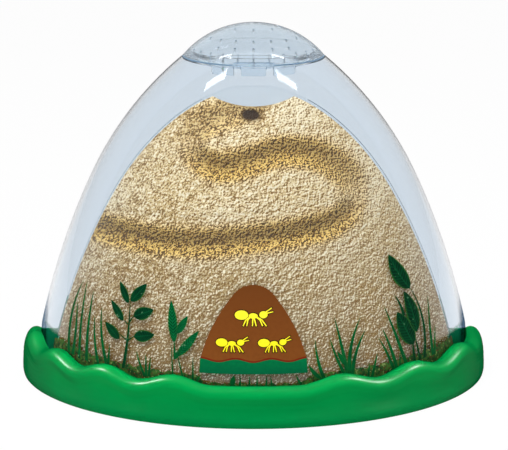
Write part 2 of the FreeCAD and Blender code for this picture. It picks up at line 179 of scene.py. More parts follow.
# %% Node trees
class Nodes:
    """A node tree that is built up by adding nodes."""

    def __init__(self, tree):
        self.tree = tree

    def add(self, kind, settings=None, values=None, output=0):
        node = self.tree.nodes.new(kind)
        for key, value in (settings or {}).items():
            setattr(node, key, value)
        for key, value in (values or {}).items():
            self.set(node.inputs[key], value)
        return Signal(self, node.outputs[output])

    def set(self, socket, value):
        if isinstance(value, Signal):
            self.tree.links.new(value.socket, socket)
        else:
            socket.default_value = value

    def sum_of(self, operation, *values):
        return self.add("ShaderNodeMath", {"operation": operation}, dict(enumerate(values)))

    def ray(self, kind):
        """1 where the light path is a Camera, Glossy, Transmission, Diffuse or Shadow ray."""
        return self.add("ShaderNodeLightPath", {}, {}, "Is " + kind + " Ray")

    def place(self, kind="Object"):
        return self.add("ShaderNodeTexCoord", {}, {}, kind)

    def part(self, axis, vector=None):
        return self.add("ShaderNodeSeparateXYZ", {}, {"Vector": vector or self.place()}, axis)

    def noise(self, scale, detail=4.0, roughness=0.5, vector=None):
        values = {"Vector": vector or self.place(), "Scale": scale, "Detail": detail, "Roughness": roughness}
        return self.add("ShaderNodeTexNoise", {}, values, "Fac")

    def blend(self, share, first, second):
        """Two colours mixed by a share."""
        node = self.tree.nodes.new("ShaderNodeMix")
        node.data_type = "RGBA"
        for key, value in (("Factor", share), ("A", first), ("B", second)):
            self.set(node.inputs[key], value)
        return Signal(self, node.outputs["Result"])

    def bump(self, height, strength, distance):
        values = {"Height": height, "Strength": strength, "Distance": distance}
        return self.add("ShaderNodeBump", {}, values, "Normal")

    def join_shaders(self, share, first, second):
        return self.add("ShaderNodeMixShader", {}, {0: share, 1: first, 2: second})


# %% [markdown]
# A finish is a material with its one main shader. What is the same all over the surface is
# set on that shader when the finish is made, and what varies is fed to it afterwards.


# %% Finishes
class Finish(Nodes):
    def __init__(self, name, **constants):
        self.material = bpy.data.materials.new(name)
        self.material.use_nodes = True
        super().__init__(self.material.node_tree)
        self.surface = self.tree.nodes["Principled BSDF"]
        self.output = self.tree.nodes["Material Output"]
        self.body = Signal(self, self.surface.outputs[0])
        for socket, value in constants.items():
            self.surface.inputs[socket.replace("_", " ").title().replace("Ior", "IOR")].default_value = value

    def feed(self, **links):
        for key, value in links.items():
            self.set(self.surface.inputs[key.replace("_", " ")], value)
        return self

    def show(self, shader):
        self.set(self.output.inputs["Surface"], shader)
        return self


def rgb(red, green, blue):
    """A colour given as a screen shows it, from 0 to 255, as the renderer needs it."""
    def linear(value):
        value /= 255
        return value / 12.92 if value <= 0.04045 else ((value + 0.055) / 1.055) ** 2.4
    return (linear(red), linear(green), linear(blue), 1.0)


print("a mid grey of 128 is", round(rgb(128, 128, 128)[0], 3), "as light")

# %% [markdown]
# Pieces start as a primitive and are shaped in edit mode. An operator acts on all that is
# selected, so these helpers start clean, pick a piece, or open it with all of it selected.


# %% Selecting and joining
def clean_start():
    if bpy.context.object and bpy.context.object.mode != "OBJECT":
        bpy.ops.object.mode_set(mode="OBJECT")
    bpy.ops.object.select_all(action="DESELECT")


def pick(*pieces):
    clean_start()
    for piece in pieces:
        piece.select_set(True)
    bpy.context.view_layer.objects.active = pieces[0]


def open_all(piece):
    pick(piece)
    bpy.ops.object.mode_set(mode="EDIT")
    bpy.ops.mesh.select_all(action="SELECT")


def close_edit():
    bpy.ops.object.mode_set(mode="OBJECT")


def joined(pieces):
    pick(*pieces)
    if len(pieces) > 1:
        bpy.ops.object.join()
    return bpy.context.object


def apply_place(piece):
    pick(piece)
    bpy.ops.object.transform_apply(location=True, rotation=True, scale=True)
    return piece


def copied_to(piece, places):
    """Copies one small piece to many places and turns, each with its own mesh, and joins them."""
    copies = []
    for place, turned in places:
        copy = piece.copy()
        copy.data = piece.data.copy()
        bpy.context.collection.objects.link(copy)
        copy.location = place
        copy.rotation_euler = turned
        copies.append(apply_place(copy))
    bpy.data.objects.remove(piece)
    return joined(copies)


# %% [markdown]
# The last step is the same for every piece. Doubles are merged before the normals are
# turned out, the shading gets its smooth angle, and the piece goes onto its body.


# %% Finishing a piece
def face_out(piece):
    open_all(piece)
    bpy.ops.mesh.normals_make_consistent(inside=False)
    close_edit()


def finish_piece(piece, name, finish, body, replaced=(), angle=35, merge=1e-6, turn_out=True):
    """Merges and turns out in one stay in edit mode, then shades, colours and places the piece."""
    piece.name = name
    open_all(piece)
    if merge:
        bpy.ops.mesh.remove_doubles(threshold=merge)
    if turn_out:
        bpy.ops.mesh.normals_make_consistent(inside=False)
    close_edit()
    bpy.ops.object.shade_smooth_by_angle(angle=math.radians(angle))
    piece.data.materials.clear()
    piece.data.materials.append(finish.material)
    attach(piece, body)
    if replaced:
        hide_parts(*replaced)
    print(name, "faces:", len(piece.data.polygons))
    return piece


# %% [markdown]
# The tray, the dome and the lid are all half round. Each is an outline in the plane of the
# flat back, spun half way round the axis, with its two ends closed or drawn out backwards.


# %% Half-turned pieces
def outline_ring(points):
    """A closed outline in the plane of the flat back: points are (radius, height)."""
    clean_start()
    bpy.ops.mesh.primitive_circle_add(vertices=len(points), radius=0.1, fill_type="NOTHING")
    piece = bpy.context.object
    for vertex, (radius, z) in zip(piece.data.vertices, points):
        vertex.co = (radius, axis_y, z)
    return piece


def close_end(piece, side, end_y, back):
    """Fills the open end on one side, and draws it out backwards."""
    open_all(piece)
    bpy.ops.mesh.select_mode(type="EDGE")
    bpy.ops.mesh.select_non_manifold(extend=False)
    close_edit()
    for edge in piece.data.edges:
        ends = [piece.data.vertices[i].co for i in edge.vertices]
        edge.select = edge.select and all(end.y > end_y and end.x * side > 0 for end in ends)
    bpy.ops.object.mode_set(mode="EDIT")
    bpy.ops.mesh.edge_face_add()
    if back:
        bpy.ops.mesh.extrude_region_move(TRANSFORM_OT_translate={"value": (0, back, 0)})
    bpy.ops.mesh.select_mode(type="VERT")
    close_edit()


def half_turned(points, steps, back=0.0):
    piece = outline_ring(points)
    open_all(piece)
    bpy.ops.mesh.spin(steps=steps, angle=math.pi, center=(0, axis_y, 0), axis=(0, 0, 1))
    close_edit()
    end_y = max(vertex.co.y for vertex in piece.data.vertices) - 1e-6
    for side in (-1, 1):
        close_end(piece, side, end_y, back)
    return piece


# %% [markdown]
# Three more shapes come back: a flat plate with an outline, a box with rounded edges, and
# a rounded line through a few points.


# %% Plates, boxes and rounded lines
def upright_plate(points):
    """A flat plate against the back, as thick as the dome's wall."""
    piece = outline_ring(points)
    open_all(piece)
    bpy.ops.mesh.edge_face_add()
    bpy.ops.mesh.extrude_region_move(TRANSFORM_OT_translate={"value": (0, dome_wall, 0)})
    close_edit()
    return piece


def box_piece(low, high, bevel):
    clean_start()
    low, high = Vector(low), Vector(high)
    bpy.ops.mesh.primitive_cube_add(size=1, location=(low + high) / 2, scale=high - low)
    piece = apply_place(bpy.context.object)
    open_all(piece)
    bpy.ops.mesh.bevel(offset=bevel, segments=3, affect="EDGES")
    close_edit()
    return piece


def smooth_points(points, per_span=6):
    """A rounded line through all the points, as a Catmull-Rom curve."""
    padded = [points[0]] + list(points) + [points[-1]]
    result = []
    for spans in zip(padded, padded[1:], padded[2:], padded[3:]):
        for i in range(per_span):
            t = i / per_span
            result.append(tuple(
                0.5 * (2 * b + (c - a) * t
                       + (2 * a - 5 * b + 4 * c - d) * t * t
                       + (3 * b - a - 3 * c + d) * t ** 3)
                for a, b, c, d in zip(*spans)))
    return result + [tuple(points[-1])]


def spaced(low, high, steps):
    return [low + (high - low) * i / steps for i in range(steps + 1)]


def eased(value, low, high):
    """0 at low, 1 at high, with a soft start and end."""
    share = min(max((value - low) / (high - low), 0), 1)
    return share * share * (3 - 2 * share)


# %% [markdown]
# The tray is one green moulding. Its rim is a fat roll over a hollow flank. The outline
# gives both as shares of the rim's width and height, and is rounded to a smooth line.

# %% The rim's outline
tray_low, tray_high = (Vector(corner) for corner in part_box("base_tray"))
tray_radius = 145 * MM
rim_height = 23.5 * MM
rim_inner = foot_radius + 0.6 * MM
rim_width = tray_radius - rim_inner
tray_wall = 2.6 * MM
floor_thickness = 2.5 * MM
rim_outline = (
    (0.04, 0.0), (0.0, 0.1), (0.04, 0.2), (0.15, 0.32), (0.25, 0.44), (0.28, 0.55), (0.2, 0.66),
    (0.14, 0.77), (0.24, 0.9), (0.47, 0.98), (0.72, 1.0), (1.0, 0.96),
)


def rim_section():
    """The rim's skin, and under it the hollow that leaves a wall of even thickness."""
    skin = [(tray_radius - max(share, 0) * rim_width, height * rim_height)
            for share, height in smooth_points(rim_outline)]
    hollow_in, hollow_out = rim_inner + tray_wall, tray_radius - 0.28 * rim_width - tray_wall
    hollow_top = rim_height - 2 * tray_wall
    under = [(rim_inner, 0), (hollow_in, 0), (hollow_in, hollow_top),
             (hollow_out, hollow_top), (hollow_out, 0)]
    return skin + under


print("rim:", round(rim_width / MM, 1), "mm wide, points:", len(rim_section()))

# %% [markdown]
# Rim and flank rise and fall together as a wave, with four crests on the left and three on
# the right. Towards its two ends the hollow flank fills out, until the rim ends full round.

# %% The rim's wave and ends
wave_rise = 5 * MM
waves = {-1: (20.0, 19.5, 4), 1: (22.0, 21.5, 3)}
swell_start = 50
swell_steps = (
    (0.1, 0), (0.2, 0.04), (0.32, 0.145), (0.44, 0.24), (0.55, 0.25), (0.66, 0.13), (0.77, 0), (0.9, -0.06),
    (1.0, -0.04),
)


def wave_at(angle):
    first, pitch, crests = waves[-1 if angle < 0 else 1]
    turns = (abs(angle) - first + pitch / 2) / pitch
    return wave_rise * (1 - math.cos(2 * math.pi * turns)) / 2 if 0 < turns < crests else 0.0


def end_swell(level, share_in):
    """How far the flank fills out at the rim's two ends, as a share of the rim's width."""
    for (low, start), (high, end) in zip(swell_steps, swell_steps[1:]):
        if level <= high:
            break
    part = min(max((level - low) / (high - low), 0), 1)
    return (start + (end - start) * part) * min(1, (1 - share_in) / 0.25)


print("crests:", sum(side[2] for side in waves.values()))

# %% [markdown]
# The section is spun level first. Each point of its skin is then moved: outwards by the
# swell of the ends, and up by the wave, the more the higher it sits, so that the foot
# stays level. A straight wall closes the back, and a floor plate joins everything.


# %% The tray
def shape_rim(rim):
    for vertex in rim.data.vertices:
        around = Vector((vertex.co.x, min(vertex.co.y - axis_y, 0)))
        angle = math.degrees(math.atan2(around.x, -around.y))
        level, share_in = vertex.co.z / rim_height, (tray_radius - around.length) / rim_width
        if level > 0.79 or share_in < 0.4:
            swell = end_swell(level, share_in) * rim_width * eased(abs(angle), swell_start, 90)
            swell = min(swell, tray_radius - around.length)
            vertex.co += around.normalized().to_3d() * swell
            vertex.co.z += wave_at(angle) * eased(level, 0.15, 0.65)


def tray_piece():
    rim = half_turned(rim_section(), 180, tray_high.y - axis_y)
    shape_rim(rim)
    wall_end, wall_top = rim_inner + MM, 0.96 * rim_height
    wall = box_piece((-wall_end, tray_high.y - tray_wall, 0), (wall_end, tray_high.y, wall_top), 0.6 * MM)
    floor_outline = [(0, 0), (wall_end, 0), (wall_end, floor_thickness), (0, floor_thickness)]
    floor = half_turned(floor_outline, 90, tray_high.y - axis_y - MM)
    return joined([rim, wall, floor])


tray_mesh = tray_piece()
print("tray points:", len(tray_mesh.data.vertices))

# %% [markdown]
# Moulded green plastic is never one flat green. It is painted paler towards the top of the
# roll, a painted light, has a very fine ripple, and its gloss is soft. Where it turns away
# from the eye it is painted darker, a painted shade, and looks matt. The inside of the back
# wall lies behind the dome and gets a painted light: a paler teal where little light reaches.


# %% The tray's finish
def tray_finish():
    finish = Finish("tray green plastic", roughness=0.3, ior=1.45, specular_ior_level=0.02)
    drift = finish.noise(18, 3).ramp(0.3, 0.7)
    ripple = finish.noise(350, 2)
    # Painted light: paler green towards the top, darker low down.
    height = finish.part("Z").ramp(0.0, rim_height + wave_rise)
    base = finish.blend(height, rgb(0, 120, 60), rgb(0, 158, 72))
    base = finish.blend(drift * 0.25, base, rgb(0, 112, 56))
    facing = finish.add("ShaderNodeLayerWeight", {}, {"Blend": 0.5}, "Facing")
    # Painted shade: darker green where the surface turns away from the eye.
    base = finish.blend(facing.ramp(0.45, 0.95) * 0.75, base, rgb(0, 78, 40))
    # Painted light: the back wall's face behind the dome is painted a paler teal.
    back, depth = tray_high.y, finish.part("Y")
    behind = depth.ramp(back - 8.6 * MM, back - 7.1 * MM) * (1 - depth.ramp(back - 1.6 * MM, back - 0.6 * MM))
    side = finish.part("X").maths("ABSOLUTE")
    painted_wall_light = behind * (1 - side.ramp(foot_radius - 1.1 * MM, foot_radius + 0.3 * MM))
    base = finish.blend(painted_wall_light * 0.9, base, rgb(24, 150, 104))
    matt = finish.add("ShaderNodeBsdfDiffuse", {}, {"Color": base})
    finish.show(finish.join_shaders(facing.ramp(0.4, 0.8) * 0.97, finish.body, matt))
    return finish.feed(
        Base_Color=base,
        Roughness=0.26 + drift * 0.1 + ripple * 0.05,
        Normal=finish.bump(finish.noise(60, 2) + ripple * 0.15, 0.12, 0.0006))


finish_piece(tray_mesh, "green_tray", tray_finish(), "tray", ("base_tray",))

# %% [markdown]
# Clear plastic is mostly what it bends and mirrors. Its walls are modelled with both their
# faces, so edges gather light by themselves. Shadow rays pass straight through, because
# thin clear plastic hardly shades what is behind it, and the sand would go black without.
# Near its foot the plastic hides what it mirrors, and shows painted colour instead: a
# painted reflection of the tray's green, and a painted shade where its own thick corner
# looks dark. That is a tinted see-through shader, mixed in.


# %% Clear plastic
def clear_finish(name, tint, roughness=0.02, direct=0.0, feet=()):
    finish = Finish(name, base_color=tint, roughness=roughness, ior=1.46, transmission_weight=1.0)
    body = finish.body
    for colour, low, high, outward in feet:
        side = finish.part("X").maths("ABSOLUTE")
        share = side.ramp(outward, outward + 0.004) * (1 - finish.part("Z").ramp(low, high))
        shaded = finish.add("ShaderNodeBsdfTransparent", {}, {"Color": colour})
        body = finish.join_shaders(share, body, shaded)
    straight = (finish.ray("Shadow") + direct + finish.ray("Diffuse")).held()
    through = finish.add("ShaderNodeBsdfTransparent", {}, {"Color": (0.95, 0.97, 0.98, 1)})
    finish.show(finish.join_shaders(straight, body, through))
    return finish.feed(Normal=finish.bump(finish.noise(25, 2), 0.03, 0.0004))


# Painted bands near the foot: the tray's green as a painted reflection, and painted shade in the thick
# corner.
painted_tray_tint = ((0.88, 0.94, 0.94, 1), 0.033, 0.0355, 0.1)
painted_corner_shade = ((0.34, 0.42, 0.5, 1), 0.036, 0.064, 0.1265)
painted_wall_tint = ((0.8, 0.93, 0.92, 1), 0.0218, 0.0226, -0.01)
front_plastic = clear_finish("clear dome plastic", (0.89, 0.93, 0.965, 1), feet=(painted_tray_tint, painted_corner_shade))
back_plastic = clear_finish("clear back plastic", (0.73, 0.8, 0.87, 1), feet=(painted_wall_tint,))
lid_plastic = clear_finish("clear lid plastic", (0.79, 0.865, 0.93, 1), 0.01, 0.2)
divider_plastic = clear_finish("clear divider plastic", (0.95, 0.97, 0.98, 1))
for plastic in (front_plastic, back_plastic, lid_plastic, divider_plastic):
    print("finish:", plastic.material.name)

# %% [markdown]
# The dome's front wall is an outline of its real thickness, spun half way round. Its mouth
# ends in a narrow ledge that carries the lid. The back is one flat panel with the same
# side curve, filled and drawn out to its thickness.

# %% The dome's front and back
curve_steps = 44
ledge_thickness = 1.6 * MM
mouth_radius = 39.5 * MM


def dome_front_piece():
    outside = [(dome_radius(z), z) for z in spaced(dome_bottom, dome_top, curve_steps)]
    inner_top = dome_top - ledge_thickness
    ledge = [(mouth_radius, dome_top), (mouth_radius, inner_top)]
    inside = [(dome_radius(z, dome_wall), z) for z in spaced(inner_top, dome_bottom, curve_steps)]
    return half_turned(outside + ledge + inside, 144)


def dome_back_piece():
    right = [(dome_radius(z), z) for z in spaced(dome_bottom, dome_top, curve_steps)]
    return upright_plate(right + [(-radius, z) for radius, z in reversed(right)])


finish_piece(dome_front_piece(), "dome_front_wall", front_plastic, "dome", ("dome_front",))
finish_piece(dome_back_piece(), "dome_back_panel", back_plastic, "dome", ("dome_back",))

# %% [markdown]
# The lid is a shallow clear cap with a flat back. Its skin is part of a ball, whose size
# follows from the lid's radius and rise. Under it a short skirt drops into the mouth.

# %% The lid's cap
lid_low, lid_high = (Vector(corner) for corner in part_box("vent_lid"))
lid_bottom = dome_top + 0.2 * MM
lid_radius = 43.9 * MM
lid_rise = lid_high.z - lid_bottom
lid_wall = 1.8 * MM
skirt_radius = mouth_radius - 0.3 * MM
skirt_in = skirt_radius - 1.6 * MM
skirt_bottom = lid_bottom - 3 * MM
cap_size = (lid_radius ** 2 + lid_rise ** 2) / (2 * lid_rise)
cap_centre = lid_bottom + lid_rise - cap_size


def cap_points(inset, count):
    size = cap_size - inset
    start = math.asin((lid_bottom + inset - cap_centre) / size)
    return [(size * math.cos(a), cap_centre + size * math.sin(a)) for a in spaced(start, math.pi / 2, count)]


def cap_piece():
    seat_top = lid_bottom + lid_wall
    inner = [(radius, z) for radius, z in reversed(cap_points(lid_wall, 20)) if z > seat_top]
    skirt = [(skirt_in, seat_top), (skirt_in, skirt_bottom),
             (skirt_radius, skirt_bottom), (skirt_radius, lid_bottom)]
    return half_turned(cap_points(0, 24) + inner + skirt, 96)


def lid_back_piece():
    right = cap_points(0, 24)
    return upright_plate(right + [(-radius, z) for radius, z in reversed(right)][1:])


print("the cap is part of a ball of", round(cap_size / MM, 1), "mm")

# %% [markdown]
# Three tabs hold the lid in the mouth. Each is a small outline spun through a short arc and
# turned to its place. A lip at the front gives a finger something to lift.

# %% The lid's tabs and lip
tab_middles = (-29, 0, 29)
tab_half_angle = 11
tab_bottom = lid_bottom - 7.5 * MM
lip_half_width = 12.5 * MM


def turned_slice(points, middle, half_angle, steps=12):
    """Spins an outline through a short arc about the front of the axis."""
    piece = outline_ring(points)
    start, sweep = -math.pi / 2 + math.radians(middle - half_angle), 2 * math.radians(half_angle)
    open_all(piece)
    bpy.ops.mesh.edge_face_add()
    bpy.ops.mesh.spin(steps=steps, angle=-sweep, center=(0, axis_y, 0), axis=(0, 0, 1))
    close_edit()
    for vertex in piece.data.vertices:
        x, y = vertex.co.x, vertex.co.y - axis_y
        turn = math.atan2(y, x) + start
        radius = math.hypot(x, y)
        vertex.co.x, vertex.co.y = radius * math.cos(turn), axis_y + radius * math.sin(turn)
    return piece


def lid_piece():
    """The cap, its flat back, three tabs and the lip, made and joined in that order."""
    cap, back = cap_piece(), lid_back_piece()
    tab = [(skirt_in, tab_bottom), (skirt_radius - 0.5 * MM, tab_bottom),
           (skirt_radius, tab_bottom + 1.5 * MM), (skirt_radius, skirt_bottom), (skirt_in, skirt_bottom)]
    tabs = [turned_slice(tab, middle, tab_half_angle) for middle in tab_middles]
    lip_low = (-lip_half_width, lid_low.y, lid_bottom)
    lip_high = (lip_half_width, lid_low.y + 5 * MM, lid_bottom + 2.2 * MM)
    return joined([cap, back, box_piece(lip_low, lip_high, 0.7 * MM)] + tabs)


lid_mesh = lid_piece()
face_out(lid_mesh)
print("lid tabs:", len(tab_middles))

# %% [markdown]
# The air holes lie on rings round the top. They are real holes: one pin is copied to every
# place, and a boolean takes all the pins out of the cap.

# %% The air holes
air_hole_radius = 0.55 * MM
air_hole_rings = ((16.6, 43.0, 2), (28.8, 21.6, 3), (34.6, 19.0, 2), (38.6, 14.0, 5))


def air_hole_places():
    """For every air hole: the point of the skin it pierces, and how the skin tilts and turns there."""
    for ring, pitch, per_side in air_hole_rings:
        radius = ring * MM
        top = cap_centre + math.sqrt(cap_size ** 2 - radius ** 2)
        tilt = math.asin(radius / cap_size)
        for step in range(-per_side, per_side + 1):
            turn = math.radians(step * pitch)
            yield Vector((radius * math.sin(turn), axis_y - radius * math.cos(turn), top)), (tilt, 0, turn)


def drill_air_holes(piece):
    clean_start()
    bpy.ops.mesh.primitive_cylinder_add(vertices=10, radius=air_hole_radius, depth=0.03)
    middle = lid_bottom + 12 * MM
    pins = copied_to(bpy.context.object, [((at.x, at.y, middle), (0, 0, 0)) for at, _ in air_hole_places()])
    pick(piece)
    cut = piece.modifiers.new("holes", "BOOLEAN")
    cut.object = pins
    cut.operation = "DIFFERENCE"
    cut.solver = "EXACT"
    bpy.ops.object.modifier_apply(modifier=cut.name)
    bpy.data.objects.remove(pins)
    print("air holes:", len(list(air_hole_places())))


drill_air_holes(lid_mesh)

# %% [markdown]
# A drilled hole has a rough, pale wall, and round its mouth light gathers to a dark ring,
# which is painted in as a fine dark ring, a painted shade. Both are small pieces of their
# own, copied into every hole, because clear plastic alone hides them.


# %% Walls and rings of the holes
def hole_walls():
    clean_start()
    bpy.ops.mesh.primitive_cylinder_add(
        vertices=12, radius=air_hole_radius * 0.97, depth=lid_wall * 0.9, end_fill_type="NOTHING")
    sunk = Vector((0, 0, lid_wall * 0.6))
    return copied_to(bpy.context.object, [(at - sunk, (0, 0, 0)) for at, _ in air_hole_places()])


def hole_shade_rings():
    clean_start()
    bpy.ops.mesh.primitive_torus_add(
        major_radius=air_hole_radius * 1.15, minor_radius=0.12 * MM, major_segments=20, minor_segments=6)
    sunk = Vector((0, 0, 0.1 * MM))
    return copied_to(bpy.context.object, [(at - sunk, turned) for at, turned in air_hole_places()])


# %% [markdown]
# Where clear plastic ends, light gathers to a dark line. Fine dark strips are painted in
# for it at the lid's seam and beside each tab, a painted shade line.


# %% Lines of the lid
def lid_shade_lines():
    seam_in, seam_top = lid_radius - 1.4 * MM, dome_top + 0.4 * MM
    seam = [(seam_in, dome_top), (lid_radius, dome_top), (lid_radius, seam_top), (seam_in, seam_top)]
    mark_in, mark_low = skirt_radius - 0.3 * MM, lid_bottom - 3.4 * MM
    mark = [(mark_in, mark_low), (skirt_radius, mark_low), (skirt_radius, lid_bottom), (mark_in, lid_bottom)]
    lines = [half_turned(seam, 96)]
    for middle in tab_middles:
        for side in (-1, 1):
            lines.append(turned_slice(mark, middle + side * (tab_half_angle + 0.4), 0.35, 1))
    return joined(lines)


# Painted shade: this dark finish stands in for the dark lines that light makes in clear plastic.
painted_dark_line = Finish("painted dark lid line", base_color=rgb(104, 132, 156), roughness=0.3, specular_ior_level=0.2)
frosted = Finish("frosted plastic", base_color=rgb(236, 242, 248), roughness=0.6, ior=1.3)
finish_piece(lid_shade_lines(), "lid_shade_lines", painted_dark_line, "lid", (), 40)
# Painted shade rings round the air holes.
finish_piece(hole_shade_rings(), "lid_hole_shade_rings", painted_dark_line, "lid", (), 60)
finish_piece(hole_walls(), "lid_hole_walls", frosted, "lid", (), 40)
finish_piece(lid_mesh, "vented_lid", lid_plastic, "lid", ("vent_lid",), 30)

# %% [markdown]
# The clear wall behind the sand has the right shape in the frame already. A copy of it is
# merged and smoothed, so that its bulge doesn't show as flat panes.


# %% The wall behind the sand
def divider_piece():
    piece = bpy.data.objects.new("divider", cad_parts["sand_divider"].data.copy())
    bpy.context.collection.objects.link(piece)
    return piece


finish_piece(
    divider_piece(), "sand_divider_wall", divider_plastic, "tray", ("sand_divider",),
    angle=30, merge=1e-5)

# %% [markdown]
# Where that wall meets the dome, the thick plastic shows a fine dark line on either side.
# It is painted in as a narrow dark strip just under the dome's outer face, a painted shade
# line. The strips, and later the sand and the prints, start as a flat grid whose points are
# given their places row by row.

# %% Chamber lines
sand_back = 54 * MM
line_low, line_high = 22 * MM, 178 * MM


def grid_piece(columns, rows):
    clean_start()
    bpy.ops.mesh.primitive_grid_add(x_subdivisions=columns, y_subdivisions=rows, size=2)
    return bpy.context.object


def chamber_line(side, inset, width):
    rows = 90
    piece = grid_piece(1, rows)
    for index, vertex in enumerate(piece.data.vertices):
        row, column = divmod(index, 2)
        z = line_low + (line_high - line_low) * row / rows
        radius = dome_radius(z, inset + column * width)
        vertex.co = (side * math.sqrt(radius ** 2 - sand_back ** 2), axis_y - sand_back, z)
    return piece


# Painted shade: a dark strip where light makes the thick plastic look dark.
painted_line_finish = Finish("painted dark edge line", base_color=rgb(44, 70, 96), roughness=0.5, specular_ior_level=0.1)
lines = [chamber_line(1, 0.5 * MM, 0.35 * MM), chamber_line(-1, 1.2 * MM, 0.2 * MM)]
finish_piece(joined(lines), "chamber_shade_lines", painted_line_finish, "dome", (), 40, 1e-6, False)

# %% [markdown]
# The sand is a layer between that wall and the dome, with a dip in its top. Each column of
# its grid ends where it meets the dip, so the height of the top is found column by column.

# %% The heap's outline
sand_low, sand_high = (Vector(corner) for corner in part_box("sand_fill"))
sand_inset = dome_wall + 0.3 * MM
core_inset = sand_inset + 18 * MM
dip_low, dip_radius = 173.6 * MM, 50 * MM


def half_width(z):
    return math.sqrt(max(dome_radius(z, sand_inset) ** 2 - sand_back ** 2, 0))


def column_top(share):
    """The height where a column of the heap meets the dipped top."""
    z = sand_high.z
    for _ in range(30):
        across = min(abs(share * half_width(z)), dip_radius)
        z += 0.5 * (dip_low + dip_radius - math.sqrt(dip_radius ** 2 - across ** 2) - z)
    return z


print("sand at its foot:", round(2 * half_width(sand_low.z) / MM), "mm wide")

# %% [markdown]
# The ants' tunnel is a rounded line through a few points. It starts at the nest hole near
# the top, swings left and right, and leaves the heap at the left. For any point of the
# sand, the nearest part of the line says how deep the tunnel is there. Level stretches are
# deep and shaded, upright ones shallow, and the first one is shallower still.

# %% The tunnel's course
tunnel_half_width = 7.5 * MM
tunnel_depth = 4.2 * MM
tunnel_route = (
    (-1, 176), (-17, 170), (-30, 165), (-36, 156), (-32, 147), (-20, 142.5), (-4, 145.5),
    (16, 151), (37, 148), (52, 139), (59.5, 128), (57, 117), (45, 110), (27, 107),
    (5, 104.5), (-22, 101.5), (-50, 100), (-78, 100.5), (-112, 101),
)
route_points = [Vector((x * MM, z * MM)) for x, z in smooth_points(tunnel_route, 5)]


def tunnel_at(x, z):
    """How far off the tunnel's middle is, in half widths, on which side, and how level it runs."""
    here = Vector((x, z))
    best, side, level = 9.0, 0.0, 1.0
    for start, end in zip(route_points, route_points[1:]):
        along = end - start
        t = min(max((here - start).dot(along) / along.length_squared, 0), 1)
        away = here - (start + along * t)
        if away.length < best:
            best, side, level = away.length, away.y, abs(along.x) / along.length
    level *= 1 - 0.4 * eased(z, 158 * MM, 163 * MM)
    return best / tunnel_half_width, side / tunnel_half_width, level


def nest_hole(x, z):
    """1 in the nest hole and 0 outside it, with a steep edge."""
    return math.exp(-(((x / MM + 1.5) / 6.2) ** 2 + ((z / MM - 169.8) / 3.0) ** 2) ** 2)


print("tunnel pieces:", len(route_points) - 1)

# %% [markdown]
# The tunnel is pressed into the heap's front, and the sand round it is a little rough. How
# far a point lies inside the tunnel, and how much shade its roof throws, go into two
# attributes that the finish reads.


# %% Relief and shade of the tunnel
def sand_front(x, z):
    radius = dome_radius(z, sand_inset)
    y = -math.sqrt(max(radius ** 2 - x ** 2, 0))
    near, _, level = tunnel_at(x, z)
    groove = tunnel_depth * max(0, 1 - near ** 2) ** 1.5 * (0.25 + 0.75 * level) if near < 1 else 0
    groove += 4 * MM * nest_hole(x, z)
    rough = 0.35 * MM * (1 + noise.noise(Vector((x, z, 0)) / (3 * MM))) * (1 + (near < 2))
    edge = min(1, max(0, (-sand_back - y) / (6 * MM)))
    return y + (groove + rough) * edge


def sand_inner(x, z):
    radius = dome_radius(z, core_inset)
    depth = math.sqrt(radius ** 2 - x ** 2) if radius > abs(x) else 0
    return -max(sand_back, depth)


def tunnel_shade(x, z):
    near, side, level = tunnel_at(x, z)
    inside = (1 - eased(near, 0.7, 1.7)) * (0.35 + 0.65 * level)
    # Painted shade under the tunnel's roof, and in the nest hole.
    roof = math.exp(-((side - 0.15) / 0.62) ** 2) if near < 1.5 else 0
    roof *= (0.05 + 0.95 * level) * (1 - eased(near, 1.0, 1.5))
    return inside, min(1.4, roof * 0.75 + nest_hole(x, z) * 1.6)


# %% [markdown]
# The heap is one closed skin: up its front, over the top, down the curved back and home
# along the floor. One grid with many columns makes all four runs. Its left and right edges
# run together in the flat side of the heap.


# %% The heap
def sand_piece():
    columns = 250
    runs = (("front", 190), ("top", 8), ("inner", 50), ("floor", 8))
    piece = grid_piece(columns, sum(count for _, count in runs))
    inside = piece.data.attributes.new("tunnel", "FLOAT", "POINT")
    shade = piece.data.attributes.new("roof", "FLOAT", "POINT")
    tops = [column_top(-1 + 2 * i / columns) for i in range(columns + 1)]
    low = sand_low.z
    for index, vertex in enumerate(piece.data.vertices):
        row, column = divmod(index, columns + 1)
        share, top = -1 + 2 * column / columns, tops[column]
        for run, count in runs:
            if row <= count:
                break
            row -= count
        part = row / count
        z = {"front": low + (top - low) * part, "top": top,
             "inner": top + (low - top) * part, "floor": low}[run]
        x = share * half_width(z)
        front, inner = sand_front(x, z), sand_inner(x, z)
        y = {"front": front, "top": front + (inner - front) * part, "inner": inner,
             "floor": inner + (front - inner) * part}[run]
        vertex.co = (x, axis_y + y, z)
        if run in ("front", "top"):
            inside.data[index].value, shade.data[index].value = tunnel_shade(x, z)
    return piece


sand_mesh = sand_piece()
print("sand points:", len(sand_mesh.data.vertices))
